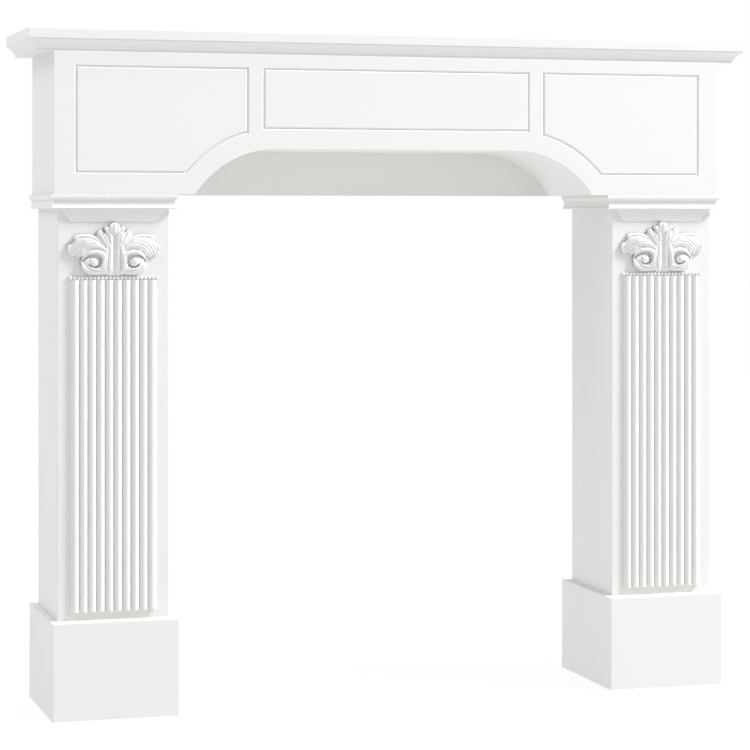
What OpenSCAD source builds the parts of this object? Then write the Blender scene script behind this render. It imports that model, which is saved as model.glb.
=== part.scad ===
// Painted timber mantelpiece (fire surround) with reeded pilasters and carved leaf onlays.
// Millimetres. X runs along the wall, the front faces -Y, Z is up.
// The origin is on the floor, below the middle of the overall box.

/* [Overall] */
// Height from the floor to the top of the shelf
total_h = 1200; // [1100:1:1400]
// Height of each leg, from the floor to the underside of the frieze
leg_h = 913; // [860:1:1000]
// Thickness of the boards
board = 18; // [15:1:20]

/* [Shelf] */
// Thickness of the shelf
shelf_t = 18; // [15:1:30]
// How far the shelf stands out beyond the bed mould
shelf_reveal = 1; // [0.5:0.5:6]

/* [Bed mould] */
// Height of the mould under the shelf
mould_h = 20; // [16:1:30]
// How far the mould stands out
mould_out = 18; // [12:1:26]
// Width of the flat soffit between the mould and each end of the frieze
eave = 28.5; // [20:0.5:50]

/* [Frieze] */
// Width of the frieze
frieze_w = 1250; // [1210:1:1400]
// Distance from the wall to the front of the frieze
frieze_d = 237; // [200:1:280]
// Thickness of the panel at the back of the arch
back_t = 6; // [4:1:10]
// Thickness of the boards that line the arch
lining_t = 9; // [6:1:12]

/* [Arch] */
// Rise of the arch above the underside of the frieze
arch_rise = 81; // [60:1:90]
// Half the length of the flat top of the arch
arch_flat = 225; // [150:1:230]
// Radius of the haunches
arch_r = 180; // [150:1:190]

/* [Frieze panels] */
// Width of the V grooves that outline the panels
groove_w = 5.5; // [3:0.5:8]
// Distance from the arch to the groove that follows it
groove_off = 37; // [25:1:45]
// Distance from the end and from the underside of the frieze to the grooves
groove_edge = 39; // [25:1:50]
// Distance from the bed mould to the grooves
groove_top = 26; // [15:1:40]
// Distance from the end of the arch's flat to the middle of the strip between two panels
panel_split = 39.5; // [36:0.5:60]
// Width of the plain strip between two panels
groove_gap = 30; // [20:1:60]

/* [Plinth blocks] */
// Width of each plinth block
plinth_w = 224; // [215:1:260]
// Distance from the wall to the front of the plinth block
plinth_d = 251; // [225:1:290]
// Height of the plinth block
plinth_h = 170; // [120:1:220]

/* [Pilaster shafts] */
// Width of each shaft
shaft_w = 198; // [180:1:210]
// How far the shaft's outer side lies in from the end of the frieze
shaft_inset = 8; // [0:0.5:12]
// How far the shaft's front lies behind the front of the frieze
shaft_set = 12.5; // [10:0.5:18]
// Distance from the wall to the back edge of the shaft's sides
shaft_back = 21; // [0:1:40]

/* [Caps] */
// Height of the cap mould
cap_h = 25; // [20:1:35]
// How far the top bead of the cap mould stands out
cap_out = 13; // [10:0.5:18]
// Height of the top bead of the cap mould
cap_bead = 10; // [6:0.5:12]
// Height of the splayed block under the cap mould
neck_h = 23; // [18:0.5:30]
// How far the splayed block stands out at its top
neck_out = 8; // [6:0.5:12]

/* [Reeding] */
// Number of reeds on each shaft
reeds = 10; // [7:1:12]
// Width of one reed
reed_w = 15.2; // [12:0.1:16]
// How far the reeds stand out
reed_out = 6.5; // [4:0.5:7.5]
// Height of the reeds' lower end above the plinth block
reed_foot = 15; // [8:1:40]

/* [Beading] */
// Number of pearls in each row
pearls = 23; // [15:1:25]
// Diameter of a pearl
pearl_d = 6.6; // [5:0.1:7]

/* [Leaf onlay] */
// Width of the leaf
leaf_w = 166; // [140:1:172]
// Height of the leaf
leaf_h = 95; // [80:1:96]
// How far the leaf's crown stands out
leaf_out = 20; // [12:1:22]

/* [Hidden] */
$fn = 64;
paint = [0.95, 0.95, 0.94];
leaf_paint = [0.97, 0.97, 0.96];
// A small overrun for cutters
over = 1;

// Depths from the wall, with the wall at Y = 0 and the front at -Y
shelf_d = frieze_d + mould_out + shelf_reveal;
frieze_back = frieze_d - board;
shaft_d = frieze_d - shaft_set;
// Half widths
frieze_x = frieze_w / 2;
eave_x = frieze_x + eave;
shelf_x = eave_x + mould_out + shelf_reveal;
// Middle of each leg
leg_x = frieze_x - shaft_inset - shaft_w / 2;
// Heights
shelf_z = total_h - shelf_t;
mould_z = shelf_z - mould_h;
cap_z = leg_h - cap_h;
neck_z = cap_z - neck_h;
// The leaf stands on the beading, and its crown reaches the splayed block
bead_z = neck_z - leaf_h;
reed_top = bead_z - pearl_d;
reed_z = plinth_h + reed_foot;
// Width of the row of reeds, and how far the row of pearls runs past it at each end
reed_row = reeds * reed_w;
bead_past = 4;
// Thickness of the strips that carry the pearls and the reeds
bead_strip = 1.6;
reed_strip = 2;
// How far the splayed block's top and foot lie in from the shaft's edges, and its toe stands out
neck_top_in = 4;
neck_foot_in = 23;
neck_toe = 1.5;

// Height of a haunch's centre, and where a circle about it passes a height
arch_z = leg_h + arch_rise;
haunch_z = arch_z - arch_r;
function circle_x(r, z) = arch_flat + sqrt(r * r - (z - haunch_z) * (z - haunch_z));
spring_x = circle_x(arch_r, leg_h);

// Puts what is drawn against the wall plane Y = 0 into the part's own frame
module wall_frame() {
    translate([0, shelf_d / 2, 0]) children();
}

// Draws its child on the right, or mirrored on the left
module side(left) {
    wall_frame() mirror([left ? 1 : 0, 0, 0]) children();
}

// A box given by its low and high corners
module box(low, high) {
    translate(low) cube(high - low);
}

// Extrudes an outline drawn in X and Z along Y, from the depth d0 to the depth d1
module along_y(d0, d1) {
    translate([0, -d0, 0]) rotate([90, 0, 0]) linear_extrude(height = d1 - d0) children();
}

// ---- Shelf and bed mould ----

module shelf() {
    color(paint) wall_frame() box([-shelf_x, -shelf_d, shelf_z], [shelf_x, 0, total_h]);
}

// Section of the bed mould: a fillet at the foot, a slope that is a little hollow, and a
// fillet at the top. X is the distance out from the wood behind it, and Y is the height.
function mould_section() = let (
    foot_h = 3.5,
    foot_out = 2.6,
    fillet = 1.5,
    hollow = 1.5,
    steps = 10,
    low = [foot_out, foot_h],
    high = [mould_out - 0.8, mould_h - fillet]
) concat(
    [[0, 0], [foot_out - 0.4, 0], [foot_out, 0.4]],
    [for (i = [0:steps]) let (t = i / steps)
        low + (high - low) * t + [-1, 1] * hollow * 4 * t * (1 - t) * sqrt(0.5)],
    [[mould_out, high[1]], [mould_out, mould_h], [0, mould_h]]
);

// The mould along the front, mitred at both ends
module bed_mould_front() {
    reach = eave_x + mould_out;
    color(paint) wall_frame() intersection() {
        translate([-reach, -frieze_d, mould_z]) rotate([90, 0, 90])
            linear_extrude(height = 2 * reach) mirror([1, 0]) polygon(mould_section());
        linear_extrude(height = total_h) polygon([
            [-eave_x, -frieze_d], [eave_x, -frieze_d],
            [reach, -frieze_d - mould_out], [-reach, -frieze_d - mould_out]]);
    }
}

// The mould along one end, mitred at the front
module bed_mould_end() {
    reach = frieze_d + mould_out;
    intersection() {
        translate([eave_x, 0, mould_z]) rotate([90, 0, 0])
            linear_extrude(height = reach) polygon(mould_section());
        linear_extrude(height = total_h) polygon([
            [eave_x, 0], [eave_x, -frieze_d],
            [eave_x + mould_out, -reach], [eave_x + mould_out, 0]]);
    }
}

module bed_mould_left() { color(paint) side(true) bed_mould_end(); }
module bed_mould_right() { color(paint) side(false) bed_mould_end(); }

// The board whose underside is the soffit outside the end of the frieze
module eave_board() {
    box([frieze_x, -frieze_d, mould_z], [eave_x, 0, shelf_z]);
}

module eave_board_left() { color(paint) side(true) eave_board(); }
module eave_board_right() { color(paint) side(false) eave_board(); }

// ---- Frieze ----

// Points along a haunch of the radius r, from the flat of the arch down to the height z
function haunch_points(r, z, steps = 16) = let (a = asin((z - haunch_z) / r))
    [for (i = [0:steps]) let (t = 90 - (90 - a) * i / steps)
        [arch_flat + r * cos(t), haunch_z + r * sin(t)]];

function mirrored(points) = [for (i = [len(points) - 1:-1:0]) [-points[i][0], points[i][1]]];

// The opening below the arch, as an outline in X and Z
module arch_outline() {
    haunch = haunch_points(arch_r, leg_h);
    polygon(concat(
        mirrored(haunch), haunch, [[spring_x, leg_h - over], [-spring_x, leg_h - over]]));
}

// Point i of a closed path, moved outwards by d along the mitre of its corner
function mitred(path, i, d) = let (
    n = len(path),
    here = path[i],
    u = here - path[(i + n - 1) % n],
    v = path[(i + 1) % n] - here,
    a = [u[1], -u[0]] / norm(u),
    b = [v[1], -v[0]] / norm(v)
) here + d * (a + b) / (1 + a * b);

// A V groove along a closed path in X and Z, cut into the plane Y = 0
module groove(path) {
    n = len(path);
    half = groove_w / 2;
    lip = half + over;
    points = concat(
        [for (i = [0:n - 1]) [path[i][0], half, path[i][1]]],
        [for (i = [0:n - 1]) let (p = mitred(path, i, lip)) [p[0], -over, p[1]]],
        [for (i = [0:n - 1]) let (p = mitred(path, i, -lip)) [p[0], -over, p[1]]]);
    faces = [for (i = [0:n - 1], k = [0:2]) let (
        j = (i + 1) % n,
        p = k * n,
        q = (k + 1) % 3 * n
    ) [p + i, q + i, q + j, p + j]];
    polyhedron(points, faces, convexity = 4);
}

// Outline of the panel between the right haunch and the end of the frieze
function side_panel() = let (
    inner = arch_flat + panel_split + groove_gap / 2,
    outer = frieze_x - groove_edge,
    low = leg_h + groove_edge,
    high = mould_z - groove_top,
    r = arch_r + groove_off,
    bend = [for (p = haunch_points(r, low, 24)) if (p[0] > inner + over) p],
    top_z = haunch_z + sqrt(r * r - (inner - arch_flat) * (inner - arch_flat))
) concat([[inner, high], [inner, top_z]], bend, [[outer, low], [outer, high]]);

// Outline of the panel above the flat of the arch
function centre_panel() = let (
    half = arch_flat + panel_split - groove_gap / 2,
    low = arch_z + groove_off,
    high = mould_z - groove_top
) [[-half, high], [-half, low], [half, low], [half, high]];

module frieze_front() {
    color(paint) wall_frame() difference() {
        along_y(frieze_back, frieze_d) difference() {
            translate([-frieze_x, leg_h]) square([frieze_w, shelf_z - leg_h]);
            arch_outline();
        }
        translate([0, -frieze_d, 0])
            for (path = [centre_panel(), side_panel(), mirrored(side_panel())]) groove(path);
    }
}

module frieze_end() {
    box([frieze_x - board, -frieze_back, leg_h], [frieze_x, 0, shelf_z]);
}

module frieze_end_left() { color(paint) side(true) frieze_end(); }
module frieze_end_right() { color(paint) side(false) frieze_end(); }

module back_panel() {
    color(paint) wall_frame()
        box([board - frieze_x, -back_t, leg_h], [frieze_x - board, 0, shelf_z]);
}

// ---- Lining of the arch ----

module arch_soffit() {
    color(paint) wall_frame()
        box([-arch_flat, -frieze_back, arch_z], [arch_flat, -back_t, arch_z + lining_t]);
}

// A bent board that follows the haunch down to the underside of the frieze
module arch_haunch() {
    inner = haunch_points(arch_r, leg_h);
    outer = haunch_points(arch_r + lining_t, leg_h);
    along_y(back_t, frieze_back)
        polygon(concat(inner, [for (i = [len(outer) - 1:-1:0]) outer[i]]));
}

module arch_haunch_left() { color(paint) side(true) arch_haunch(); }
module arch_haunch_right() { color(paint) side(false) arch_haunch(); }

// The short flat board between the haunch and the leg
module arch_sole() {
    inner = leg_x - shaft_w / 2 + board;
    top = leg_h + lining_t;
    along_y(back_t, frieze_back) polygon([
        [circle_x(arch_r + lining_t, leg_h), leg_h], [inner, leg_h],
        [inner, top], [circle_x(arch_r + lining_t, top), top]]);
}

module arch_sole_left() { color(paint) side(true) arch_sole(); }
module arch_sole_right() { color(paint) side(false) arch_sole(); }

// ---- Caps ----

// Section of the cap mould: a lip that flares out at the foot, a straight waist, and a bead
// that is full at the top and turns in below
function cap_section() = let (
    lip = cap_out - 1.5,
    waist = cap_out - 4,
    fillet = 1.2,
    flare = (cap_h - cap_bead) * 0.6,
    swell = cap_bead * 0.6,
    ease = 0.6,
    steps = 8
) concat(
    [[0, 0], [lip - ease, 0], [lip, fillet]],
    // The flare dies into the waist
    [for (i = [1:steps]) let (t = i / steps)
        [waist + (lip - waist) * pow(1 - t, 2), fillet + (flare - fillet) * t]],
    [[waist, cap_h - cap_bead]],
    // The bead
    [for (i = [0:steps]) let (a = -90 + 90 * i / steps)
        [waist + ease + (cap_out - waist - ease) * cos(a), cap_h - cap_bead + swell * (1 + sin(a))]],
    [[cap_out, cap_h - fillet], [cap_out - ease, cap_h], [0, cap_h]]
);

// One length of cap mould along X, from x0 to x1, mitred outwards where m0 and m1 are 1
module cap_length(x0, x1, m0, m1) {
    intersection() {
        translate([x0 - cap_out, 0, cap_z]) rotate([90, 0, 90])
            linear_extrude(height = x1 - x0 + 2 * cap_out) mirror([1, 0]) polygon(cap_section());
        linear_extrude(height = leg_h) polygon([
            [x0, 0], [x1, 0], [x1 + m1 * cap_out, -cap_out], [x0 - m0 * cap_out, -cap_out]]);
    }
}

module cap_front() {
    translate([leg_x, -shaft_d, 0]) cap_length(-shaft_w / 2, shaft_w / 2, 1, 1);
}

module cap_outer() {
    translate([leg_x + shaft_w / 2, 0, 0]) rotate([0, 0, 90]) cap_length(-shaft_d, 0, 1, 0);
}

module cap_inner() {
    translate([leg_x - shaft_w / 2, 0, 0]) rotate([0, 0, -90]) cap_length(0, shaft_d, 0, 1);
}

module cap_front_left() { color(paint) side(true) cap_front(); }
module cap_outer_left() { color(paint) side(true) cap_outer(); }
module cap_inner_left() { color(paint) side(true) cap_inner(); }
module cap_front_right() { color(paint) side(false) cap_front(); }
module cap_outer_right() { color(paint) side(false) cap_outer(); }
module cap_inner_right() { color(paint) side(false) cap_inner(); }

// The splayed block: wide and standing out at the top, and dying into the shaft below
module neck_block() {
    top = shaft_w / 2 - neck_top_in;
    foot = shaft_w / 2 - neck_foot_in;
    intersection() {
        along_y(shaft_d, shaft_d + neck_out) polygon([
            [leg_x - foot, neck_z], [leg_x + foot, neck_z],
            [leg_x + top, cap_z], [leg_x - top, cap_z]]);
        translate([leg_x - shaft_w / 2, -shaft_d, 0]) rotate([90, 0, 90])
            linear_extrude(height = shaft_w) polygon([
                [0, neck_z], [-neck_toe, neck_z], [-neck_out, cap_z], [0, cap_z]]);
    }
}

module neck_block_left() { color(paint) side(true) neck_block(); }
module neck_block_right() { color(paint) side(false) neck_block(); }

// ---- Leaf onlay ----
// Drawn with its foot at the origin, its width along X, its height along Z and its crown at -Y.

// The leaf is drawn at this width and height, and scaled to its own
drawn_w = 166;
drawn_h = 92;
// Outline lobes as [x, z, half length, half width, tilt]
lobes = [
    [0, 70, 22, 11, 90],
    [16, 68, 18, 6, 70],
    [29, 62, 18, 6.5, 48],
    [28, 52, 34, 15, 24],
    [52, 52, 26, 15, 28],
    [60, 42, 23, 14, -8],
    [38, 24, 21, 23, 0],
    [16, 18, 24, 17.5, 0]
];
// Centre that the outline is measured from
hub_z = 34;

// How far a ray from the hub at an angle runs before it leaves a lobe (0 if it misses)
function lobe_exit(l, angle) = let (
    dx = cos(angle - l[4]),
    dz = sin(angle - l[4]),
    ox = -l[0] * cos(l[4]) + (hub_z - l[1]) * sin(l[4]),
    oz = l[0] * sin(l[4]) + (hub_z - l[1]) * cos(l[4]),
    a = dx * dx / (l[2] * l[2]) + dz * dz / (l[3] * l[3]),
    b = ox * dx / (l[2] * l[2]) + oz * dz / (l[3] * l[3]),
    c = ox * ox / (l[2] * l[2]) + oz * oz / (l[3] * l[3]) - 1,
    root = b * b - a * c
) root <= 0 ? 0 : max(0, (-b + sqrt(root)) / a);

// The leaf is the same on both sides, so angles are folded to the right-hand half
function fold(angle) = abs(angle) > 90 ? 180 - abs(angle) : abs(angle);
function reach(angle) = let (
    up = sin(angle) >= 0,
    half = (up ? 1 : -1) * fold(angle)
) min(
    max([for (l = lobes) lobe_exit(l, half)]),
    up ? 1000 : (hub_z - 0.2) / max(0.01, -sin(angle))
);

// Height of the carving at x, z: a crown, flutes that fan from the foot, an eye each side
crown_z = 62;
crown_r = 62;
fan_z = -14;
flutes = 12;
eye = [37, 24];
eye_r = 10;
moat_r = 12.5;
moat_w = 6;
// Thickness of the leaf's rim, as a share of its crown
rim = 0.12;
function bump(d, r) = d < r ? pow(cos(90 * d / r), 2) : 0;
function relief(x, z, edge) = let (
    ax = abs(x),
    fan = atan2(z - fan_z, ax),
    crest = 0.45 + 0.55 * bump(norm([ax * 0.7, z - crown_z]), crown_r),
    flute = 0.5 + 0.5 * cos(fan * flutes),
    e = norm([ax - eye[0], z - eye[1]]),
    boss = 0.5 * bump(e, eye_r),
    moat = 0.6 * bump(abs(e - moat_r), moat_w)
) leaf_out * max(rim, (crest * (0.8 - 0.2 * flute) * pow(1 - edge * edge, 0.35) + boss - moat));

// The carving is a fan of rays from the hub, with rings along them
module leaf() {
    rays = 112;
    rings = 12;
    sx = leaf_w / drawn_w;
    sz = leaf_h / drawn_h;
    function at(i, j) = let (
        angle = 360 * i / rays - 180,
        r = reach(angle) * j / rings,
        x = r * cos(angle),
        z = hub_z + r * sin(angle)
    ) [x * sx, -relief(x, z, j / rings), z * sz];
    points = concat(
        [[0, -relief(0, hub_z, 0), hub_z * sz], [0, 0, hub_z * sz]],
        [for (j = [1:rings], i = [0:rays - 1]) at(i, j)],
        [for (i = [0:rays - 1]) let (p = at(i, rings)) [p[0], 0, p[2]]]
    );
    function id(i, j) = 2 + (j - 1) * rays + i % rays;
    faces = concat(
        [for (i = [0:rays - 1]) [0, id(i + 1, 1), id(i, 1)]],
        [for (j = [1:rings], i = [0:rays - 1]) [id(i, j), id(i + 1, j), id(i + 1, j + 1)]],
        [for (j = [1:rings], i = [0:rays - 1]) [id(i, j), id(i + 1, j + 1), id(i, j + 1)]],
        [for (i = [0:rays - 1]) [1, id(i, rings + 1), id(i + 1, rings + 1)]]
    );
    polyhedron(points, faces, convexity = 8);
}

module leaf_at_leg() {
    translate([leg_x, -shaft_d, bead_z]) leaf();
}

module leaf_left() { color(leaf_paint) side(true) leaf_at_leg(); }
module leaf_right() { color(leaf_paint) side(false) leaf_at_leg(); }

// ---- Beading and reeding ----

// A row of pearls on a flat strip
module beading() {
    row = reed_row + 2 * bead_past;
    pitch = row / pearls;
    translate([leg_x - row / 2, -shaft_d, reed_top]) {
        translate([0, -bead_strip, 0]) cube([row, bead_strip, pearl_d]);
        intersection() {
            for (i = [0:pearls - 1])
                translate([(i + 0.5) * pitch, -bead_strip, pearl_d / 2])
                    sphere(d = pearl_d, $fn = 32);
            translate([0, -pearl_d, 0]) cube([row, pearl_d, pearl_d]);
        }
    }
}

module beading_left() { color(paint) side(true) beading(); }
module beading_right() { color(paint) side(false) beading(); }

// Round reeds side by side, cut square at both ends
module reeding() {
    rise = reed_out - reed_strip;
    r = (reed_w * reed_w / 4 + rise * rise) / (2 * rise);
    translate([leg_x - reed_row / 2, -shaft_d, reed_z]) linear_extrude(height = reed_top - reed_z)
        union() {
            translate([0, -reed_strip]) square([reed_row, reed_strip]);
            for (i = [0:reeds - 1]) translate([(i + 0.5) * reed_w, 0]) intersection() {
                translate([0, r - reed_out]) circle(r = r, $fn = 48);
                translate([-reed_w / 2, -reed_out]) square([reed_w, reed_out]);
            }
        }
}

module reeding_left() { color(paint) side(true) reeding(); }
module reeding_right() { color(paint) side(false) reeding(); }

// ---- Shafts and plinth blocks ----

module shaft_front() {
    box([leg_x - shaft_w / 2, -shaft_d, plinth_h], [leg_x + shaft_w / 2, board - shaft_d, leg_h]);
}

// One side of the shaft, whose outer face is at the distance x from the leg's middle
module shaft_wall(x0, x1) {
    box([leg_x + x0, board - shaft_d, plinth_h], [leg_x + x1, -shaft_back, leg_h]);
}

module shaft_outer() { shaft_wall(shaft_w / 2 - board, shaft_w / 2); }
module shaft_inner() { shaft_wall(-shaft_w / 2, board - shaft_w / 2); }

module shaft_front_left() { color(paint) side(true) shaft_front(); }
module shaft_outer_left() { color(paint) side(true) shaft_outer(); }
module shaft_inner_left() { color(paint) side(true) shaft_inner(); }
module shaft_front_right() { color(paint) side(false) shaft_front(); }
module shaft_outer_right() { color(paint) side(false) shaft_outer(); }
module shaft_inner_right() { color(paint) side(false) shaft_inner(); }

module plinth_top() {
    box([leg_x - plinth_w / 2, -plinth_d, plinth_h - board], [leg_x + plinth_w / 2, 0, plinth_h]);
}

module plinth_front() {
    box([leg_x - plinth_w / 2, -plinth_d, 0],
        [leg_x + plinth_w / 2, board - plinth_d, plinth_h - board]);
}

module plinth_wall(x0, x1) {
    box([leg_x + x0, board - plinth_d, 0], [leg_x + x1, 0, plinth_h - board]);
}

module plinth_outer() { plinth_wall(plinth_w / 2 - board, plinth_w / 2); }
module plinth_inner() { plinth_wall(-plinth_w / 2, board - plinth_w / 2); }

module plinth_top_left() { color(paint) side(true) plinth_top(); }
module plinth_front_left() { color(paint) side(true) plinth_front(); }
module plinth_outer_left() { color(paint) side(true) plinth_outer(); }
module plinth_inner_left() { color(paint) side(true) plinth_inner(); }
module plinth_top_right() { color(paint) side(false) plinth_top(); }
module plinth_front_right() { color(paint) side(false) plinth_front(); }
module plinth_outer_right() { color(paint) side(false) plinth_outer(); }
module plinth_inner_right() { color(paint) side(false) plinth_inner(); }

shelf();
bed_mould_front();
bed_mould_left();
bed_mould_right();
eave_board_left();
eave_board_right();
frieze_front();
frieze_end_left();
frieze_end_right();
back_panel();
arch_soffit();
arch_haunch_left();
arch_haunch_right();
arch_sole_left();
arch_sole_right();
cap_front_left();
cap_outer_left();
cap_inner_left();
cap_front_right();
cap_outer_right();
cap_inner_right();
neck_block_left();
neck_block_right();
leaf_left();
leaf_right();
beading_left();
beading_right();
reeding_left();
reeding_right();
shaft_front_left();
shaft_outer_left();
shaft_inner_left();
shaft_front_right();
shaft_outer_right();
shaft_inner_right();
plinth_top_left();
plinth_front_left();
plinth_outer_left();
plinth_inner_left();
plinth_top_right();
plinth_front_right();
plinth_outer_right();
plinth_inner_right();
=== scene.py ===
# %% [markdown]
# # A painted timber mantelpiece
# The surround is joiner's work: boards, run mouldings and two carved leaves, glued together
# and sprayed with matt white paint. This notebook gives each piece its finish, and builds
# anew the pieces whose edges, curves or carving need more than the construction model holds.

# %% Load the frame
import math
import bmesh
import bpy
import numpy as np
from mathutils import Matrix, Vector


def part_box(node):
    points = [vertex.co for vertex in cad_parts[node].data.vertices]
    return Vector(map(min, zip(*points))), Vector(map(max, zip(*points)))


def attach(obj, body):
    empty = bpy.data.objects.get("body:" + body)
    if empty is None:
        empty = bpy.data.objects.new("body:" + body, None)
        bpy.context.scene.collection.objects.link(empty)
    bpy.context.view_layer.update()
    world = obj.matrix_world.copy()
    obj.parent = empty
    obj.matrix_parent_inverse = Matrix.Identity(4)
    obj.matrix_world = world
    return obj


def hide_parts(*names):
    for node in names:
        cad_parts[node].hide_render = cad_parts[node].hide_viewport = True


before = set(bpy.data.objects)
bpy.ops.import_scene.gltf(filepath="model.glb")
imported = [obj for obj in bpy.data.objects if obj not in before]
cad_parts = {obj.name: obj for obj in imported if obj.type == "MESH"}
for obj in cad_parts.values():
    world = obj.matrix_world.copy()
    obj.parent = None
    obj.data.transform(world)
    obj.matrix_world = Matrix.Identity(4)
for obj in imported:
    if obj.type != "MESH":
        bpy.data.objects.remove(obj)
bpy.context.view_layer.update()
MM = 0.001
print("nodes in the frame:", len(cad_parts))

# %% [markdown]
# ## Sizes
# The sizes of the pieces are read from the boxes of the construction model, so that what is made
# here fits the boards beside it; only the fine details have numbers of their own. The front of
# the surround faces -Y, and the wall is at +Y.

# %% Read sizes from the frame
def span(*nodes):
    """The lowest and highest corner of the box around some nodes."""
    boxes = [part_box(n) for n in nodes]
    low = Vector([min(b[0][i] for b in boxes) for i in range(3)])
    high = Vector([max(b[1][i] for b in boxes) for i in range(3)])
    return low, high


SIDES = ("left", "right")
wall_y = span("back_panel")[1].y
frieze_low, frieze_high = span("frieze_front")
shaft = {s: span(f"shaft_front_{s}", f"shaft_outer_{s}", f"shaft_inner_{s}") for s in SIDES}
face_y = shaft["left"][0].y
board = frieze_high.y - frieze_low.y
leg_x = {s: (shaft[s][0].x + shaft[s][1].x) / 2 for s in SIDES}
print(f"board {board / MM:.1f} mm, legs at {leg_x['left']:.3f} and {leg_x['right']:.3f} m")

# %% [markdown]
# ## Camera
# A long lens, a little below the height of the shelf, looks in from the left. The camera is
# level, so that upright edges stay upright, and the lens is shifted down to bring the feet into
# the picture, as with a view camera.

# %% Camera
TURN_TO_RIGHT = math.radians(16.8)
camera_data = bpy.data.cameras.new("camera")
camera_data.lens = 121.4
camera_data.sensor_width = 36
camera_data.shift_y = -0.215
camera_data.clip_end = 60
camera = bpy.data.objects.new("camera", camera_data)
camera.location = (-1.359, -4.464, 0.879)
camera.rotation_euler = (math.radians(90), 0, -TURN_TO_RIGHT)
bpy.context.collection.objects.link(camera)
bpy.context.scene.camera = camera
print(f"a {camera_data.lens:.0f} mm lens, {camera.location.z:.2f} m above the floor")

# %% [markdown]
# ## Light
# White joinery on white needs grazing light, or its relief goes flat. The key lamp hangs high on
# the right, not far from the plane of the front: it rakes across the reeds and leaves, and
# throws soft shadows down to the left. A broad weak lamp high on the left keeps the faces that
# look that way from going grey, and a white room fills the rest.

# %% Node helper
def add(tree, kind, settings=(), **inputs):
    """Adds a node. Inputs are numbers, colours, or sockets to link from."""
    node = tree.nodes.new(kind)
    for key, value in dict(settings).items():
        setattr(node, key, value)
    for key, value in inputs.items():
        socket = node.inputs[int(key[1:])] if key[0] == "_" else node.inputs[key.replace("_", " ")]
        if isinstance(value, bpy.types.NodeSocket):
            tree.links.new(value, socket)
        else:
            socket.default_value = value
    return node


# %% Lamps
def studio_lamp(name, place, target, size, watts):
    """A square area lamp at place that faces target."""
    data = bpy.data.lights.new(name, "AREA")
    data.shape = "SQUARE"
    data.size = size
    data.energy = watts
    lamp = bpy.data.objects.new(name, data)
    lamp.location = place
    lamp.rotation_euler = (Vector(target) - Vector(place)).to_track_quat("-Z", "Y").to_euler()
    bpy.context.collection.objects.link(lamp)
    return lamp


middle = Vector((0, face_y, 0.7))
towards_key = Vector((0.69, -0.26, 0.68)).normalized()
towards_fill = Vector((-0.72, -0.05, 0.69)).normalized()
key_distance = 9.0
fill_distance = 5.0
key_place = middle + towards_key * key_distance
fill_place = middle + towards_fill * fill_distance
key_size = 1.8
key_watts = 1080
key_lamp = studio_lamp("key_lamp", key_place, middle, key_size, key_watts)
studio_lamp("fill_lamp", fill_place, middle, size=2.5, watts=62)
print(f"key lamp {key_place.z:.1f} m above the floor, fill lamp {fill_place.z:.1f} m")

# %% White room
scene = bpy.context.scene
scene.view_settings.view_transform = "Standard"
world = bpy.data.worlds.new("white_room")
world.use_nodes = True
scene.world = world
tree = world.node_tree
looking = add(tree, "ShaderNodeTexCoord").outputs["Generated"]
# The room is dimmest in front of the surround and to its left, and brightest behind it
towards_bright = add(tree, "ShaderNodeVectorMath", {"operation": "DOT_PRODUCT"}, _0=looking,
                     _1=(0.8, 1.0, 0.0))
strength = add(tree, "ShaderNodeMapRange", Value=towards_bright.outputs["Value"],
               From_Min=-1.0, From_Max=0.85, To_Min=0.45, To_Max=1.0)
tree.links.new(strength.outputs["Result"], tree.nodes["Background"].inputs["Strength"])
tree.nodes["Background"].inputs["Color"].default_value = (1, 1, 1, 1)
print("room strength, dim side to bright side:", [round(strength.inputs[i].default_value, 2)
                                                  for i in ("To Min", "To Max")])

# %% [markdown]
# ## Finishes
# The surround is medium-density fibreboard, primed and sprayed with matt white. Sprayed paint
# on fibreboard shows no brush marks, only a fine orange peel about a millimetre across, and a
# slight cloudiness in its sheen. The faces turned to the wall were never painted.

# %% Material helpers
def linear(hex_code):
    """An sRGB hex colour as linear RGBA."""
    parts = [int(hex_code[i:i + 2], 16) / 255 for i in (0, 2, 4)]
    return [c / 12.92 if c <= 0.04045 else ((c + 0.055) / 1.055) ** 2.4 for c in parts] + [1]


def new_material(name):
    """An empty material, its node tree, its output and its object coordinates."""
    material = bpy.data.materials.new(name)
    material.use_nodes = True
    tree = material.node_tree
    tree.nodes.clear()
    output = add(tree, "ShaderNodeOutputMaterial")
    place = add(tree, "ShaderNodeTexCoord").outputs["Object"]
    return material, tree, output, place


# %% Matt white paint
PEEL = 1.6 * MM


def sprayed_paint(name, colour, shade):
    """Matt spray paint: mixes two close whites in soft clouds, under a fine orange peel."""
    material, tree, output, place = new_material(name)
    cloud = add(tree, "ShaderNodeTexNoise", Vector=place, Scale=7.0, Detail=3.0)
    tone = add(tree, "ShaderNodeMix", {"data_type": "RGBA"}, _0=cloud.outputs["Fac"],
               _6=linear(colour), _7=linear(shade))
    sheen = add(tree, "ShaderNodeMapRange", Value=cloud.outputs["Fac"], To_Min=0.46, To_Max=0.58)
    # Orange peel a millimetre or so across, drawn half as coarse again so that it shows
    peel = add(tree, "ShaderNodeTexNoise", Vector=place, Scale=1 / PEEL, Detail=2.0)
    bump = add(tree, "ShaderNodeBump", Height=peel.outputs["Fac"], Strength=0.22,
               Distance=0.00008)
    shader = add(tree, "ShaderNodeBsdfPrincipled", Base_Color=tone.outputs[2], IOR=1.46,
                 Roughness=sheen.outputs["Result"], Normal=bump.outputs["Normal"])
    tree.links.new(shader.outputs[0], output.inputs["Surface"])
    return material


paint = sprayed_paint("matt_white_sprayed_paint", "E3E3E1", "E1E1DF")
# The carving is handled less than the boards, so its white is a shade cleaner
carving_paint = sprayed_paint("matt_white_paint_on_carving", "E5E5E3", "E2E2E0")
print("paints:", paint.name, "and", carving_paint.name)

# %% Bare fibreboard
FIBRE = 2 * MM


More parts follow.
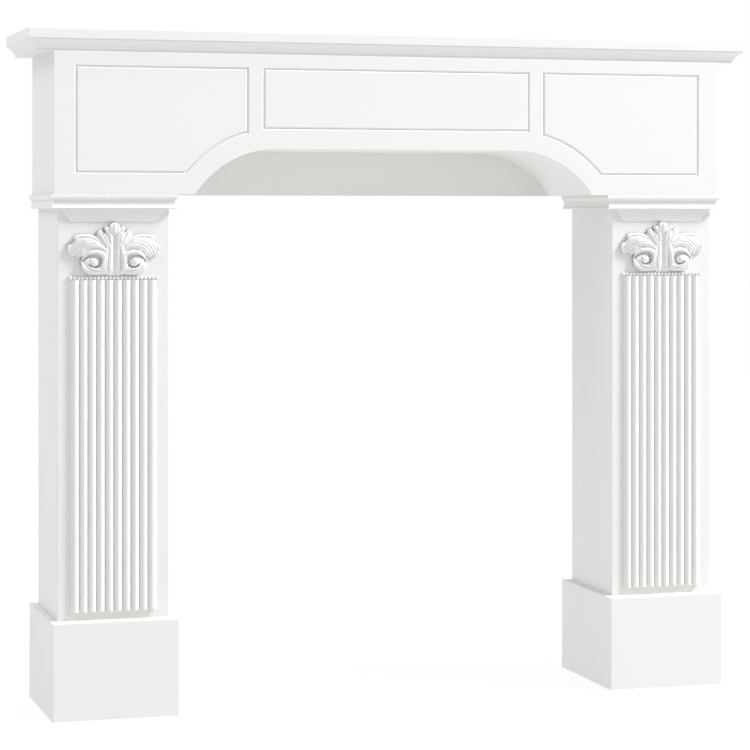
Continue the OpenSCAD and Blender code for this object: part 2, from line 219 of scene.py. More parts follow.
def fibreboard(name):
    """Bare fibreboard: pressed wood dust, fawn, with darker and paler fibres 2 mm long."""
    material, tree, output, place = new_material(name)
    fibres = add(tree, "ShaderNodeTexNoise", Vector=place, Scale=1 / FIBRE, Detail=4.0)
    blotch = add(tree, "ShaderNodeTexNoise", Vector=place, Scale=9.0, Detail=2.0)
    blend = add(tree, "ShaderNodeMix", _0=0.35, _2=blotch.outputs["Fac"], _3=fibres.outputs["Fac"])
    tone = add(tree, "ShaderNodeMix", {"data_type": "RGBA"}, _0=blend.outputs[0],
               _6=linear("A88C68"), _7=linear("C4A981"))
    bump = add(tree, "ShaderNodeBump", Height=fibres.outputs["Fac"], Strength=0.3,
               Distance=0.0001)
    shader = add(tree, "ShaderNodeBsdfPrincipled", Base_Color=tone.outputs[2], IOR=1.45,
                 Roughness=0.85, Normal=bump.outputs["Normal"])
    tree.links.new(shader.outputs[0], output.inputs["Surface"])
    return material


raw_board = fibreboard("bare_pressed_fibreboard")
print("on the faces turned to the wall:", raw_board.name)

# %% [markdown]
# ## Floor
# A studio floor is a wide sheet of pale paper. It has to be as white as the room, or the
# surround would seem to stand on grey, so most of its light is its own, and just enough is left
# to the lamps to show where the plinth blocks stand.

# %% Floor
floor_material, tree, output, place = new_material("pale_paper_floor")
grain = add(tree, "ShaderNodeTexNoise", Vector=place, Scale=3.0)
tone = add(tree, "ShaderNodeMix", {"data_type": "RGBA"}, _0=grain.outputs["Fac"],
           _6=linear("626262"), _7=linear("606060"))
shader = add(tree, "ShaderNodeBsdfPrincipled", Base_Color=tone.outputs[2], Roughness=0.9,
             Emission_Color=(1, 1, 1, 1), Emission_Strength=0.85)
tree.links.new(shader.outputs[0], output.inputs["Surface"])
floor_radius = 30
bm = bmesh.new()
bmesh.ops.create_circle(bm, cap_ends=True, segments=64, radius=floor_radius)
floor_mesh = bpy.data.meshes.new("floor")
bm.to_mesh(floor_mesh)
bm.free()
floor_mesh.materials.append(floor_material)
floor = bpy.data.objects.new("floor", floor_mesh)
bpy.context.collection.objects.link(floor)
print(f"floor: a round sheet {2 * floor_radius} m across")

# %% [markdown]
# ## From a mesh to a piece
# Every new piece ends the same way: its mesh becomes an object at the origin, rides on the
# one body, and takes the place of the construction nodes that it stands for. Its shading is
# smooth, except across edges that are sharper than a given angle.

# %% Piece helper
def make_piece(name, bm, replaced, materials=(), smooth_angle=35):
    """Turns a bmesh into a piece that replaces some nodes."""
    bmesh.ops.remove_doubles(bm, verts=bm.verts, dist=0.005 * MM)
    bmesh.ops.recalc_face_normals(bm, faces=bm.faces)
    for face in bm.faces:
        face.smooth = True
    for edge in bm.edges:
        if len(edge.link_faces) == 2 and edge.calc_face_angle(0) > math.radians(smooth_angle):
            edge.smooth = False
    mesh = bpy.data.meshes.new(name)
    bm.to_mesh(mesh)
    bm.free()
    for material in materials or (paint, raw_board):
        mesh.materials.append(material)
    piece = bpy.data.objects.new(name, mesh)
    bpy.context.collection.objects.link(piece)
    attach(piece, "root")
    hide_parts(*replaced)
    # Flat faces stay flat to the eye, and the rounding shows on their eased edges only
    normals = piece.modifiers.new("flat_faces", "WEIGHTED_NORMAL")
    normals.keep_sharp = True
    print(f"{name}: {len(mesh.polygons)} faces")
    return piece


# %% Block helpers
def new_block(low, high):
    """A bmesh that holds one box."""
    bm = bmesh.new()
    bmesh.ops.create_cube(bm, size=1)
    size = Vector(high) - Vector(low)
    centre = (Vector(high) + Vector(low)) / 2
    bmesh.ops.scale(bm, vec=size, verts=bm.verts)
    bmesh.ops.translate(bm, vec=centre, verts=bm.verts)
    bm.normal_update()
    return bm


def ease(bm, edges, radius, segments=3):
    """Rounds some edges, as sandpaper does before painting."""
    bmesh.ops.bevel(bm, geom=list(edges), offset=radius, segments=segments, affect="EDGES",
                    profile=0.5, material=-1, offset_type="OFFSET", clamp_overlap=True)


def facing(bm, axis, sign):
    """The faces whose normals point along an axis."""
    return [f for f in bm.faces if f.normal[axis] * sign > 0.99]


# %% [markdown]
# ## Shelf
# One board with its front and ends showing. A joiner takes the sharpness off every edge that a
# hand can reach; the back edge stays square, because it meets the wall.

# %% Shelf
hand_ease = 1.2 * MM
bm = new_block(*span("shelf"))
ease(bm, [e for e in bm.edges if any(v.co.y < 0 for v in e.verts)], hand_ease)
for face in facing(bm, 1, 1):
    face.material_index = 1
make_piece("shelf_board", bm, ["shelf"])

# %% [markdown]
# ## Plinth blocks and shafts
# Each is a box of mitred boards, open at the back. Once it is filled and painted, its joints
# don't show, so front and sides are made as one folded shell: a box loses the faces that are
# open, it is thickened inwards to the boards' thickness, and its outer corners are eased.

# %% Folded shells
def folded_shell(name, nodes, open_faces, radius):
    """A box without some faces, thickened inwards to the board's thickness."""
    bm = new_block(*span(*nodes))
    gone = [f for axis, sign in open_faces for f in facing(bm, axis, sign)]
    bmesh.ops.delete(bm, geom=gone, context="FACES_ONLY")
    bmesh.ops.recalc_face_normals(bm, faces=bm.faces)
    outside = set(bm.faces)
    bmesh.ops.solidify(bm, geom=list(bm.faces), thickness=board)
    for face in bm.faces:
        face.material_index = 0 if face in outside else 1
    corners = {e for f in outside for e in f.edges if all(g in outside for g in e.link_faces)}
    ease(bm, corners, radius)
    return make_piece(name, bm, nodes)


# Each direction is an axis and a sign
TO_WALL = (1, 1)
UPWARDS = (2, 1)
DOWNWARDS = (2, -1)
plinth_ease = 1.5 * MM
for s in SIDES:
    plinth_nodes = [f"plinth_{part}_{s}" for part in ("top", "front", "outer", "inner")]
    folded_shell(f"plinth_block_{s}", plinth_nodes, [TO_WALL, DOWNWARDS], plinth_ease)
    shaft_nodes = [f"shaft_{part}_{s}" for part in ("front", "outer", "inner")]
    folded_shell(f"pilaster_shaft_{s}", shaft_nodes, [TO_WALL, UPWARDS, DOWNWARDS], hand_ease)


# %% [markdown]
# ## Frieze board
# The arch is cut out of one board, and three panels are outlined on it with a V-shaped router
# bit. The outline and the panels are drawn as loops of edges, their round corners by spinning
# one vertex about the haunch's centre. A panel is then inset twice: once going in to the
# bottom of the V, and once coming back out.

# %% Arch, read from the frame
arch_top = span("arch_soffit")[0].z
flat_x = span("arch_soffit")[1].x
spring_x = span("arch_haunch_right")[1].x
lining = span("arch_soffit")[1].z - arch_top
drop = arch_top - frieze_low.z
# The radius of a circle that is level at the flat's end and whose outside passes the spring
rise = drop + lining
run = spring_x - flat_x
arch_r = (rise * rise + run * run) / (2 * rise) - lining
haunch = Vector((flat_x, frieze_low.y, arch_top - arch_r))
print(f"arch: flat {2 * flat_x:.3f} m, radius {arch_r:.3f} m, rise {drop:.3f} m")


# %% Drawing loops of edges
def loop_from(bm, places):
    """The edges of a closed loop through some places."""
    verts = [bm.verts.new(p) for p in places]
    return [bm.edges.new((verts[i - 1], verts[i])) for i in range(len(verts))]


def haunch_arc(radius, z, steps, x_from=0.0):
    """Places along the right haunch, from its top or x_from beyond the flat, down to a height."""
    bm = bmesh.new()
    start = math.asin(x_from / radius)
    stop = math.acos((z - haunch.z) / radius)
    first = bm.verts.new(haunch + Vector((radius * math.sin(start), 0, radius * math.cos(start))))
    bmesh.ops.spin(bm, geom=[first], cent=haunch, axis=(0, 1, 0), dvec=(0, 0, 0),
                   angle=stop - start, steps=steps, use_duplicate=False)
    places = [v.co.copy() for v in bm.verts]
    bm.free()
    return sorted(places, key=lambda p: -p.z)


def mirrored(places):
    """The same places on the left, in the other order."""
    return [Vector((-p.x, p.y, p.z)) for p in reversed(places)]


# %% Places of the grooves
groove = 5.5 * MM
half_groove = groove / 2
# Gaps from the middle of a groove to the arch, the board's edges and the mould
arch_gap = 37 * MM
edge_gap = 39 * MM
top_gap = 26 * MM
# The strip that is left between two panels, and how far its middle lies past the arch's flat
strip = 30 * MM
strip_past_flat = 39.5 * MM

split = flat_x + strip_past_flat
side_inner = split + strip / 2 - half_groove
side_outer = frieze_high.x - edge_gap + half_groove
side_low = frieze_low.z + edge_gap - half_groove
centre_half = split - strip / 2 + half_groove
centre_low = arch_top + arch_gap - half_groove
panel_top = span("bed_mould_front")[0].z - top_gap + half_groove
bend_r = arch_r + arch_gap - half_groove
print(f"side panels {(side_outer - side_inner) / MM:.0f} mm wide,",
      f"centre panel {2 * centre_half / MM:.0f} mm")

# %% Outline and panels
front = frieze_low.y
bm = bmesh.new()
arc = haunch_arc(arch_r, frieze_low.z, steps=28)
outline = loop_from(bm, mirrored(arc) + arc + [
    Vector((frieze_high.x, front, frieze_low.z)), Vector((frieze_high.x, front, frieze_high.z)),
    Vector((frieze_low.x, front, frieze_high.z)), Vector((frieze_low.x, front, frieze_low.z))])
bend = haunch_arc(bend_r, side_low, steps=24, x_from=side_inner - flat_x)
side_panel = [Vector((side_inner, front, panel_top))] + bend + [
    Vector((side_outer, front, side_low)), Vector((side_outer, front, panel_top))]
centre_panel = [Vector((-centre_half, front, panel_top)), Vector((-centre_half, front, centre_low)),
                Vector((centre_half, front, centre_low)), Vector((centre_half, front, panel_top))]
panels = [loop_from(bm, places) for places in (side_panel, mirrored(side_panel), centre_panel)]
fields = [bmesh.ops.contextual_create(bm, geom=loop)["faces"][0] for loop in panels]
bmesh.ops.triangle_fill(bm, edges=outline + [e for loop in panels for e in loop],
                        use_beauty=True, normal=(0, -1, 0))
bmesh.ops.recalc_face_normals(bm, faces=bm.faces)
if fields[0].normal.y > 0:
    bmesh.ops.reverse_faces(bm, faces=bm.faces)
print("faces drawn on the front of the frieze:", len(bm.faces))

# %% Grooves and thickness
for depth in (-half_groove, half_groove):
    bmesh.ops.inset_region(bm, faces=fields, thickness=half_groove, depth=depth,
                           use_even_offset=True, use_boundary=True)
sides = bmesh.ops.extrude_edge_only(bm, edges=outline)["geom"]
back_verts = [g for g in sides if isinstance(g, bmesh.types.BMVert)]
back_edges = [g for g in sides if isinstance(g, bmesh.types.BMEdge)
              and all(v in back_verts for v in g.verts)]
bmesh.ops.translate(bm, vec=(0, board, 0), verts=back_verts)
bmesh.ops.contextual_create(bm, geom=back_edges)
paint_ease = 0.5 * MM
ease(bm, outline, paint_ease, 2)
make_piece("frieze_board", bm, ["frieze_front"], smooth_angle=20)

# %% [markdown]
# ## Back panel
# A plain sheet closes the frieze behind the arch. It is seen only from under the arch and from
# behind, where it was left bare.

# %% Back panel
bm = new_block(*span("back_panel"))
for face in facing(bm, 1, 1):
    face.material_index = 1
make_piece("back_board", bm, ["back_panel"])


# %% [markdown]
# ## Mouldings
# The bed mould under the shelf and the cap moulds of the legs are run lengths, cut to mitres
# at the corners. One section is drawn at the first end and extruded from corner to corner;
# at each corner its points move out along the mitre, which keeps the section true.

# %% Run a moulding around corners
def run_moulding(name, section, path, nodes):
    """A closed section, as (out, up) in metres, swept along plan points with mitred corners."""
    bm = bmesh.new()
    plan = [Vector(p) for p in path]
    outward = []
    for a, b in zip(plan, plan[1:]):
        along = (b - a).normalized()
        outward.append(Vector((along.y, -along.x)))
    # On the mitre of a corner, one unit out from both its walls is this far
    rows = [outward[0]]
    for a, b in zip(outward, outward[1:]):
        rows.append((a + b) / (1 + a.dot(b)))
    rows.append(outward[-1])
    low = span(*nodes)[0].z

    def stand(row, point):
        place = plan[row] + rows[row] * point[0]
        return (place.x, place.y, low + point[1])

    verts = [bm.verts.new(stand(0, p)) for p in section]
    edges = [bm.edges.new((verts[i - 1], verts[i])) for i in range(len(verts))]
    bmesh.ops.contextual_create(bm, geom=edges)
    for row in range(1, len(plan)):
        bmesh.ops.extrude_edge_only(bm, edges=edges)
        # Each old point is joined by an upright edge to its copy, which lies where it does
        verts = [next(e.other_vert(v) for e in v.link_edges if e.calc_length() == 0)
                 for v in verts]
        for vert, point in zip(verts, section):
            vert.co = stand(row, point)
        edges = [bm.edges.get((verts[i - 1], verts[i])) for i in range(len(verts))]
    bmesh.ops.contextual_create(bm, geom=edges)
    return make_piece(name, bm, nodes, smooth_angle=28)


# %% Section of the bed mould
def slope(low, high, hollow, steps):
    """Points of a section from low to high, on a slope that is hollowed a little."""
    points = []
    for i in range(steps + 1):
        t = i / steps
        sag = hollow * 4 * t * (1 - t) * math.sqrt(0.5)
        points.append((low[0] + (high[0] - low[0]) * t - sag,
                       low[1] + (high[1] - low[1]) * t + sag))
    return points


bed_low, bed_high = span("bed_mould_front", "bed_mould_left", "bed_mould_right")
bed_h = bed_high.z - bed_low.z
eave_x = span("eave_board_right")[1].x
bed_out = bed_high.x - eave_x
# A narrow upright foot, a hollow slope, and a fillet that stands out past the slope
foot_out = 2.6 * MM
foot_h = 3.5 * MM
foot_ease = 0.4 * MM
slope_hollow = 1.5 * MM
SLOPE_STEPS = 16
fillet_h = 1.5 * MM
fillet_out = 0.8 * MM
slope_top = (bed_out - fillet_out, bed_h - fillet_h)
bed_section = ([(0, 0), (foot_out - foot_ease, 0), (foot_out, foot_ease)]
               + slope((foot_out, foot_h), slope_top, slope_hollow, SLOPE_STEPS)
               + [(bed_out, bed_h - fillet_h), (bed_out, bed_h), (0, bed_h)])
print(f"bed mould {bed_out / MM:.1f} mm out, {bed_h / MM:.1f} mm high")

# %% Bed mould
run_moulding("bed_mould", bed_section,
             [(-eave_x, wall_y), (-eave_x, front), (eave_x, front), (eave_x, wall_y)],
             ["bed_mould_front", "bed_mould_left", "bed_mould_right"])

# %% Section of the cap moulds
CURVE_STEPS = 12
cap_low, cap_high = span("cap_front_right")
cap_h = cap_high.z - cap_low.z
cap_out = face_y - cap_low.y
cap_bead = 10 * MM
cap_fillet = 1.2 * MM
cap_ease = 0.6 * MM
# A flared lip at the foot draws in to a waist, and a bead swells out above it
lip = cap_out - 1.5 * MM
waist = cap_out - 4 * MM
under_bead = cap_h - cap_bead
flare_top = 0.6 * under_bead
belly = 0.6 * cap_bead
flare = []
for i in range(1, CURVE_STEPS + 1):
    t = i / CURVE_STEPS
    flare.append((waist + (lip - waist) * (1 - t) ** 2, cap_fillet + (flare_top - cap_fillet) * t))
bead = []
for i in range(CURVE_STEPS + 1):
    a = math.radians(-90 + 90 * i / CURVE_STEPS)
    bead.append((waist + cap_ease + (cap_out - waist - cap_ease) * math.cos(a),
                 under_bead + belly * (1 + math.sin(a))))
cap_section = ([(0, 0), (lip - cap_ease, 0), (lip, cap_fillet)]
               + flare + [(waist, under_bead)] + bead
               + [(cap_out, cap_h - cap_fillet), (cap_out - cap_ease, cap_h), (0, cap_h)])
print(f"cap mould {cap_out / MM:.1f} mm out, {cap_h / MM:.1f} mm high")

# %% Cap moulds
for s in SIDES:
    low, high = shaft[s]
    nodes = [f"cap_{part}_{s}" for part in ("front", "outer", "inner")]
    run_moulding(f"cap_mould_{s}", cap_section,
                 [(low.x, wall_y), (low.x, face_y), (high.x, face_y), (high.x, wall_y)], nodes)

# %% [markdown]
# ## Splayed neck block
# Between the cap and the leaf a block leans out from the shaft. It is a box whose lower
# corners are drawn in, so that its front and ends slope.

# %% Neck blocks
# How far its foot is drawn in at each end, and how far its foot stands out from the shaft
foot_in = 19 * MM
toe = 1.5 * MM
for s in SIDES:
    low, high = span(f"neck_block_{s}")
    bm = new_block(low, high)
    at_front = [v for v in bm.verts if v.co.y < face_y - toe / 2]
    for vert in bm.verts:
        if vert.co.z < (low.z + high.z) / 2:
            vert.co.x += foot_in if vert.co.x < leg_x[s] else -foot_in
            vert.co.y = face_y - toe if vert in at_front else face_y
    bm.normal_update()
    ease(bm, [e for e in bm.edges if all(v in at_front for v in e.verts)], paint_ease, 2)
    make_piece(f"neck_splay_{s}", bm, [f"neck_block_{s}"])


# %% [markdown]
# ## Reeding
# Reeds are the opposite of flutes: round rods side by side. The section of the front halves of
# the rods is drawn across the shaft and extruded up its height, as the moulding is milled.

# %% Reeding
REEDS = 10
REED_STEPS = 12
# Below 1 the sine fills out, so that the sides of a reed are steep and its front is round
ROUNDNESS = 0.62
reed_strip = 1.2 * MM
for s in SIDES:
    low, high = span(f"reeding_{s}")
    pitch = (high.x - low.x) / REEDS
    bm = bmesh.new()
    places = [Vector((low.x, high.y, low.z))]
    reed_depth = high.y - low.y
    for k in range(REEDS):
        # The first point of a reed is the last one of the reed before it
        for i in range(1 if k else 0, REED_STEPS + 1):
            t = i / REED_STEPS
            swell = math.sin(math.pi * t) ** ROUNDNESS
            out = reed_strip + (reed_depth - reed_strip) * swell
            places.append(Vector((low.x + (k + t) * pitch, high.y - out, low.z)))
    places.append(Vector((high.x, high.y, low.z)))
    bmesh.ops.contextual_create(bm, geom=loop_from(bm, places))
    lifted = bmesh.ops.extrude_face_region(bm, geom=list(bm.faces))["geom"]
    bmesh.ops.translate(bm, vec=(0, 0, high.z - low.z),
                        verts=[g for g in lifted if isinstance(g, bmesh.types.BMVert)])
    make_piece(f"reeded_mould_{s}", bm, [f"reeding_{s}"], smooth_angle=50)

# %% [markdown]
# ## Beading
# A row of pearls with a flat back, glued on above the reeds. Each pearl is half sunk in a thin
# strip; it is a sphere that is fitted to the height of the row and to its share of the length.

# %% Beading
PEARLS = 23
# The share of the pitch that a pearl fills, which leaves a small gap to the next one
pearl_share = 0.94
bead_strip = 1.6 * MM
for s in SIDES:
    low, high = span(f"beading_{s}")
    pitch = (high.x - low.x) / PEARLS
    tall = high.z - low.z
    bm = new_block((low.x, high.y - bead_strip, low.z), high)
    for k in range(PEARLS):
        centre = Vector((low.x + (k + 0.5) * pitch, high.y - bead_strip, (low.z + high.z) / 2))
        size = Matrix.Diagonal((pearl_share * pitch / 2, tall / 2, tall / 2, 1))
        bmesh.ops.create_uvsphere(bm, u_segments=16, v_segments=10, radius=1,
                                  matrix=Matrix.Translation(centre) @ size)
    make_piece(f"pearl_beading_{s}", bm, [f"beading_{s}"], smooth_angle=60)


# %% [markdown]
# ## Carved leaf
# The onlay is an acanthus leaf that opens into two scrolls with a round eye. A carver saws the
# outline, rounds the big masses, sinks the ground beside the eyes, then runs a gouge along the
# flutes. It is made in that order here: a fine grid stands for the blank, and strokes raise
# the masses, sink the ground and cut the flutes. Moving the points of a grid suits carving
# seen from the front, because relief that was cut with a gouge has few undercuts.
# Both halves are the same, so a stroke is given once, in millimetres from the axis and up from
# the foot of the leaf.

# %% Paths of strokes
def smooth_path(points, steps=8):
    """A smooth path through some points, by Catmull and Rom's formula."""
    p = np.vstack([2 * points[0] - points[1], points, 2 * points[-1] - points[-2]])
    t = np.linspace(0, 1, steps, endpoint=False)[:, None]
    parts = []
    for a, b, c, d in zip(p, p[1:], p[2:], p[3:]):
        parts.append(0.5 * (2 * b + (c - a) * t + (2 * a - 5 * b + 4 * c - d) * t ** 2
                            + (3 * b - a - 3 * c + d) * t ** 3))
    return np.vstack(parts + [points[-1:]])


def spread(values, share):
    """Values given at even steps along a path, read off at each share of its length."""
    return np.interp(share, np.linspace(0, 1, len(values)), values)


# %% Strokes on the blank
class Blank:
    """Points of the blank, in millimetres, and the height that is carved so far."""

    chisel_side = 0.8
    least_relief = 1.2

    def __init__(self, points):
        self.x = np.abs(points[:, 0])
        self.z = points[:, 1]
        self.height = np.zeros(len(points))

    def along(self, path):
        """Each point's distance from a smooth path, and how far along the path it is, 0 to 1."""
        path = np.array(path, float)
        if len(path) > 2:
            path = smooth_path(path)
        lengths = np.linalg.norm(np.diff(path, axis=0), axis=1)
        ends = np.concatenate([[0], np.cumsum(lengths)]) / lengths.sum()
        nearest = np.full(len(self.x), 1e9)
        share = np.zeros(len(self.x))
        for a, b, s0, s1 in zip(path, path[1:], ends, ends[1:]):
            d = b - a
            t = np.clip(((self.x - a[0]) * d[0] + (self.z - a[1]) * d[1]) / (d @ d), 0, 1)
            away = np.hypot(self.x - a[0] - t * d[0], self.z - a[1] - t * d[1])
            closer = away < nearest
            nearest[closer] = away[closer]
            share[closer] = (s0 + t * (s1 - s0))[closer]
        return nearest, share

    def raise_mass(self, path, widths, heights, crown=0.4):
        """A rounded mass along a path. Its crown is the share of its height that is domed."""
        away, share = self.along(path)
        across = away / spread(widths, share)
        dome = 1 - crown + crown * np.sqrt(np.clip(1 - across ** 2, 0, 1))
        # The side of the mass rises within the outer eighth of its width
        wall = np.clip((1 - across) * 8, 0, 1) ** 0.5
        top = spread(heights, share) * dome * wall
        self.height = np.maximum(self.height, np.where(across < 1, top, 0))

    def sink(self, path, widths, ground):
        """Sinks the ground along a path, as with a chisel, leaving steep sides."""
        away, share = self.along(path)
        inside = np.clip((spread(widths, share) - away) / self.chisel_side, 0, 1)
        sunk = np.minimum(self.height, ground)
        self.height = self.height + (sunk - self.height) * inside

    def cut_valley(self, path, widths, depths):
        """A wide valley with straight sides, cut with a flat chisel."""
        away, share = self.along(path)
        across = np.clip(1 - away / spread(widths, share), 0, 1)
        self.height = np.where(self.height > 0, self.height - spread(depths, share) * across, 0)

    def cut_flute(self, path, width, depths, fade=0.2):
        """A gouge cut along a path. It narrows towards both ends, over a share of its length."""
        away, share = self.along(path)
        ends = np.clip(np.minimum(share, 1 - share) / fade, 0.2, 1)
        across = np.clip(1 - away / (width * ends), 0, 1)
        depth = spread(depths, share) * ends * across * across * (3 - 2 * across)
        cut = np.maximum(self.height - depth, self.least_relief)
        self.height = np.where(self.height > 0, cut, 0)


# %% Masses of the leaf
EYE = (37, 24.3)


def around_eye(radius, start, stop, steps=8):
    """Points on a circle about the eye. Angles are in degrees, 0 outwards and 90 upwards."""
    angles = np.radians(np.linspace(start, stop, steps))
    return [(EYE[0] + radius * np.cos(a), EYE[1] + radius * np.sin(a)) for a in angles]


def raise_masses(blank):
    """The rounded masses, from the lowest to the ones that lie over them."""
    # Stem and shoulder
    blank.raise_mass([(0, -4), (0, 40), (0, 76)], (11, 13, 10), (10, 13, 14.5), 0.05)
    blank.raise_mass([(6, 40), (18, 52), (30, 58)], (14, 16, 12), (14, 13.5, 12), 0.2)
    # Upper rim of the side leaf, with its own small tip
    blank.raise_mass([(14, 44), (30, 59), (44, 65), (58, 66), (67, 65)],
                     (9, 10, 6.5, 5.5, 5), (13, 14, 13, 12, 10))
    # Leaflets beside the crown
    blank.raise_mass([(6, 46), (17, 63), (25, 73)], (8, 8, 6), (14, 16.5, 14), 0.3)
    blank.raise_mass([(4, 50), (10, 70), (14.5, 80.5)], (6, 6, 4.4), (14, 17.5, 16.5), 0.3)
    # Side leaf that bends over the scroll, and its drooping tip
    blank.raise_mass([(12, 40), (28, 52), (46, 56), (60, 54), (70, 47), (74, 41)],
                     (8, 12, 13, 12, 10, 8), (13, 15.5, 17, 16, 12, 8), 0.5)
    blank.raise_mass([(56, 46), (70, 47), (76, 47)], (12, 11, 8), (14, 11, 8), 0.5)
    blank.raise_mass([(44, 44), (56, 40), (64, 36)], (9, 8, 5), (14, 12, 8), 0.4)
    # Blade beside the stem, which turns up along the scroll
    blank.raise_mass([(12, 5), (17, 12), (17.5, 26), (13, 44)], (4.5, 7, 7, 6),
                     (11, 14.5, 15.5, 15), 0.35)
    # Scroll: the cushion that the eye is sunk in, and its outer band
    blank.raise_mass([(36, 23), (37, 24)], (18, 18), (11.5, 11.5), 0.25)
    blank.raise_mass([(16, 34), (28, 40), (42, 39.5), (52, 32.5), (57, 25)],
                     (5, 5, 4.5, 3.8, 2.4), (15.5, 16.5, 15, 12, 9), 0.45)
    blank.raise_mass([(57, 24), (53, 14), (43, 7), (30, 5.5), (17, 6)],
                     (2.4, 5, 5.5, 4.6, 4), (9, 13, 14.5, 14, 12), 0.5)
    blank.raise_mass([(47, 24), (44, 16.5), (36, 12), (26, 10.5), (17, 9)],
                     (3, 3.2, 3.6, 3.4, 3), (12, 13.5, 14, 13.5, 12), 0.5)


# %% Eyes and flutes
def sink_eyes(blank):
    """The deep ground round each eye, then the eye itself, and the teeth beside it."""
    blank.sink([(56.5, 24.5), (50, 30.3), (42, 33.8), (32, 33.4), (25.5, 29.5), (24.5, 22),
                (28, 16.5), (34, 14.6), (40, 16), (44.5, 19.5)],
               (0.9, 1.6, 2.3, 3.2, 4.2, 3.8, 3.0, 2.2, 1.5, 1.0), 0.6)
    blank.raise_mass([EYE, (EYE[0] + 0.5, EYE[1])], (7.4, 7.4), (16, 16), 0.5)
    for tip, root in (((23.5, 29), (15, 30.5)), ((24, 24.5), (14, 25)),
                      ((25.5, 19.8), (15, 18.8)), ((28.5, 15.6), (18, 12.5))):
        blank.raise_mass([root, tip], (2.3, 1.0), (15, 11.5), 0.45)


def run_gouge(blank):
    """The flutes: the deep ones between the masses first, and then the fine veins."""
    # Valley in the middle, and the fan that rises from the foot
    blank.cut_valley([(0, -6), (0, 30), (0, 74)], (5.6, 6.4, 5.2), (4.5, 6, 5))
    blank.cut_flute([(10, 0), (11.8, 16), (10.8, 36), (9.5, 56)], 2.2, (3, 4, 2.5))
    blank.cut_flute([(14, 4), (15.5, 16), (14.6, 30), (12, 42)], 1.3, (2, 2, 1.5))
    blank.cut_flute([(18.5, 6), (19.6, 14), (18.8, 22)], 1.2, (1.6, 1.6))
    blank.cut_flute([(6.6, 4), (7.4, 30), (6.8, 62)], 1.0, (1.2, 1.6, 1.2))
    # Veins of the leaflets
    blank.cut_flute([(7.5, 54), (12.5, 70), (19.5, 83)], 1.6, (3.5, 4, 5), 0.1)
    blank.cut_flute([(6, 60), (10.5, 73), (14.5, 82)], 1.2, (1.5, 2.5, 2.5))
    blank.cut_flute([(10, 50), (18.5, 66), (24, 77)], 1.3, (2, 3, 3))
    blank.cut_flute([(12, 47), (24, 63), (31, 73)], 1.4, (2.5, 3, 3))
    blank.cut_flute([(14, 45), (29, 62), (38, 73)], 1.8, (3, 4, 5), 0.1)
    # Under the rolled rim of the side leaf
    blank.cut_flute([(20, 50), (34, 61), (48, 65.5), (66, 65)], 1.8, (2, 3.5, 4), 0.12)
    blank.cut_flute([(70, 63), (78, 57)], 2.4, (4, 5), 0.3)
    # Flutes that bend with the scroll, deepest near the drooping tip
    for radius, start, stop in ((21.5, 34, 92), (26, 12, 106), (30.5, 8, 112), (36, 6, 98),
                                (41, 10, 70), (45, 18, 50)):
        blank.cut_flute(around_eye(radius, start, stop), 2.1, (3.2, 2.4, 1.2, 0.8), 0.2)
    # Hollow between the side leaf and the upper lid
    blank.cut_flute([(14, 39), (26, 45.5), (38, 46.5), (50, 42)], 3.4, (2, 4.5, 4.5, 2), 0.25)
    blank.cut_flute([(18, 33), (29, 38), (42, 37.5), (51, 31)], 1.0, (1.2, 1.2))
    # Lower bands of the scroll
    blank.cut_flute([(52, 20), (46, 12), (37, 8.8), (24, 8)], 1.4, (2.5, 3, 2.5))


# %% The whole leaf
def carve_leaf(blank):
    """Carves an acanthus leaf with two scrolls, whose round crown lies over its veins."""
    raise_masses(blank)
    sink_eyes(blank)
    run_gouge(blank)
    crown = Blank(np.column_stack([blank.x, blank.z]))
    crown.raise_mass([(0, 80.5), (0, 81)], (10.6, 10.6), (20, 20), 0.45)
    crown.cut_flute([(3.4, 73), (3.9, 84), (3.6, 93)], 2.2, (1.5, 2.2, 2.5), 0.1)
    blank.height = np.maximum(blank.height, crown.height)


# %% Leaves
LEAF_STEP = 0.55
# The strokes are drawn for a leaf this high, and stretched to the leaf's own height
DRAWN_HEIGHT = 92
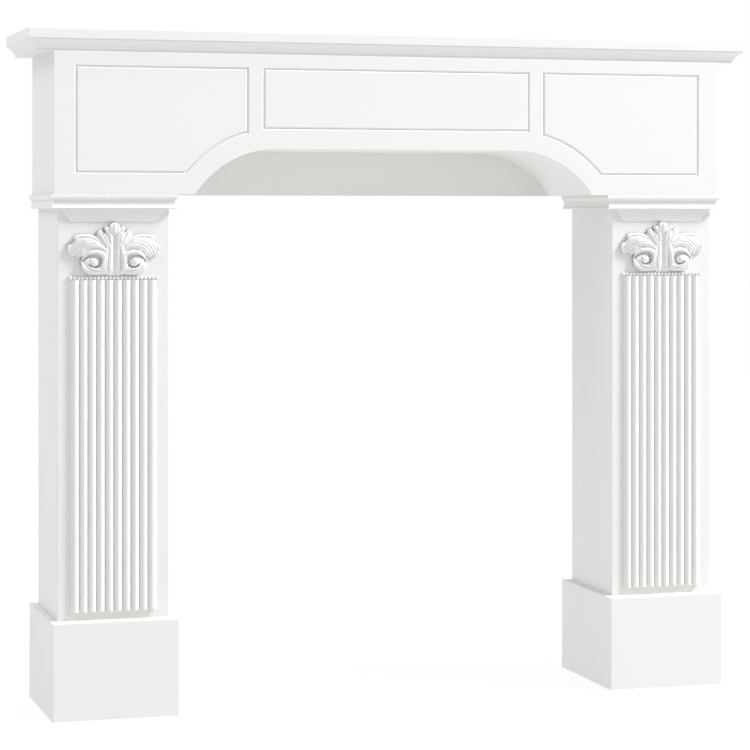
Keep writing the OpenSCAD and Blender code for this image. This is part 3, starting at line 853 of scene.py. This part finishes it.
# The leaf thins to half at its foot, over this height, towards the beading that it stands on
THIN_FOOT = 12
LEAST_THICKNESS = 0.1
for s in SIDES:
    low, high = span(f"leaf_{s}")
    half = (high.x - low.x) / 2 / MM
    tall = (high.z - low.z) / MM
    bm = bmesh.new()
    bmesh.ops.create_grid(bm, x_segments=int(2 * half / LEAF_STEP),
                          y_segments=int(tall / LEAF_STEP), size=0.5)
    bmesh.ops.scale(bm, vec=(2 * half, tall, 1), verts=bm.verts)
    bmesh.ops.translate(bm, vec=(0, tall / 2, 0), verts=bm.verts)
    blank = Blank(np.array([(v.co.x, v.co.y * DRAWN_HEIGHT / tall) for v in bm.verts]))
    carve_leaf(blank)
    blank.height *= np.interp(blank.z, (0, THIN_FOOT), (0.5, 1))
    blank.height *= min(1, (face_y - low.y) / MM / blank.height.max())
    for vert, height in zip(bm.verts, blank.height):
        vert.co.z = height
    bmesh.ops.delete(bm, context="VERTS", geom=[v for v in bm.verts if v.co.z < LEAST_THICKNESS])
    bmesh.ops.delete(bm, context="VERTS", geom=[v for v in bm.verts if not v.link_faces])
    # The sawn outline follows the grid in steps until it is smoothed
    rim = [v for v in bm.verts if v.is_boundary]
    for _ in range(4):
        bmesh.ops.smooth_vert(bm, verts=rim, factor=0.5, use_axis_x=True, use_axis_y=True)
    for _ in range(2):
        bmesh.ops.smooth_vert(bm, verts=bm.verts, factor=0.5, use_axis_z=True)
    # The flat back is a copy of the front, pressed flat and made one face
    back = bmesh.ops.extrude_face_region(bm, geom=list(bm.faces), use_keep_orig=True)["geom"]
    for vert in (g for g in back if isinstance(g, bmesh.types.BMVert)):
        vert.co.z = 0
    bmesh.ops.dissolve_faces(bm, faces=[g for g in back if isinstance(g, bmesh.types.BMFace)])
    for vert in bm.verts:
        x, z, out = vert.co
        vert.co = (leg_x[s] + x * MM, face_y - out * MM, low.z + z * MM)
    make_piece(f"acanthus_leaf_{s}", bm, [f"leaf_{s}"], (carving_paint,), smooth_angle=180)


# %% [markdown]
# ## Boards that stay as they are
# The eave boards, the lining of the arch and the ends of the frieze are plain boards with
# square edges, which the construction model already holds. They only need their paint.

# %% Paint on the plain boards
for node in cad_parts.values():
    node.data.materials.clear()
    node.data.materials.append(paint)
print("painted:", paint.name)

# %% [markdown]
# ## Keeping the shelf's shadow off the frieze
# The shelf would throw a grey band over the top of the frieze and its grooves. To lift it, the
# frieze has a lamp of its own in the key lamp's place, which the shelf, its mould and the eave
# boards don't block. The key lamp lights everything but the frieze. Linking a lamp to some
# objects keeps the shadows of the cap moulds and leaves, which a reflector would wash out.

# %% A lamp for the frieze
def linked(name, objects, state):
    """A collection that a lamp includes or excludes."""
    collection = bpy.data.collections.new(name)
    for item in objects:
        collection.objects.link(item)
    for entry in collection.collection_objects:
        entry.light_linking.link_state = state
    return collection


frieze_board = bpy.data.objects["frieze_board"]
over_frieze = [bpy.data.objects["shelf_board"], bpy.data.objects["bed_mould"],
               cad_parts["eave_board_left"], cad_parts["eave_board_right"]]
frieze_lamp = studio_lamp("frieze_lamp", key_place, middle, key_size, key_watts)
key_lamp.light_linking.receiver_collection = linked("not_by_key", [frieze_board], "EXCLUDE")
frieze_lamp.light_linking.receiver_collection = linked("frieze_only", [frieze_board], "INCLUDE")
frieze_lamp.light_linking.blocker_collection = linked("lets_through", over_frieze, "EXCLUDE")
print("the frieze's lamp passes:", [item.name for item in over_frieze])
